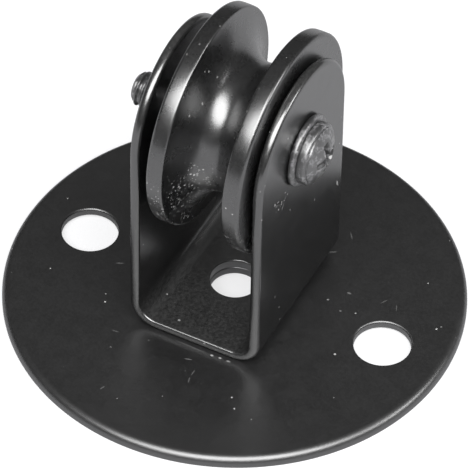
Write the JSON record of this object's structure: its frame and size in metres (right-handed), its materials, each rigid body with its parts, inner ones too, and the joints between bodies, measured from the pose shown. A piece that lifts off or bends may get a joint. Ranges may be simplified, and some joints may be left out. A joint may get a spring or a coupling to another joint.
{
  "type": "chandelier pulley",
  "caption": "Surface-mounted pulley: a deep-grooved wheel turning on a screw axle between the ears of a folded bracket on a round base plate.",
  "frame": {"origin": "centre of the base plate's mounting face", "axes": "+Z out of the mounting face through the wheel, Y along the axle with the screw's head at -Y, X along the way the rope runs over the wheel"},
  "size_m": [0.065, 0.065, 0.0493],
  "materials": {
    "plate_paint": "satin black paint on pressed steel",
    "bracket_paint": "satin black paint on folded steel strip",
    "wheel_paint": "semi-gloss black paint on a turned wheel",
    "screw_paint": "black paint over a steel screw and washer"
  },
  "bodies": {
    "frame": {"base_plate": "plate_paint", "bracket": "bracket_paint", "axle_screw": "screw_paint", "head_washer": "screw_paint"},
    "wheel": {"wheel": "wheel_paint"}
  },
  "joints": [
    {"name": "wheel_spin", "type": "hinge", "parent": "frame", "child": "wheel", "pos_m": [0, -0.0011, 0.03347], "axis": [0, 1, 0], "continuous": true}
  ]
}
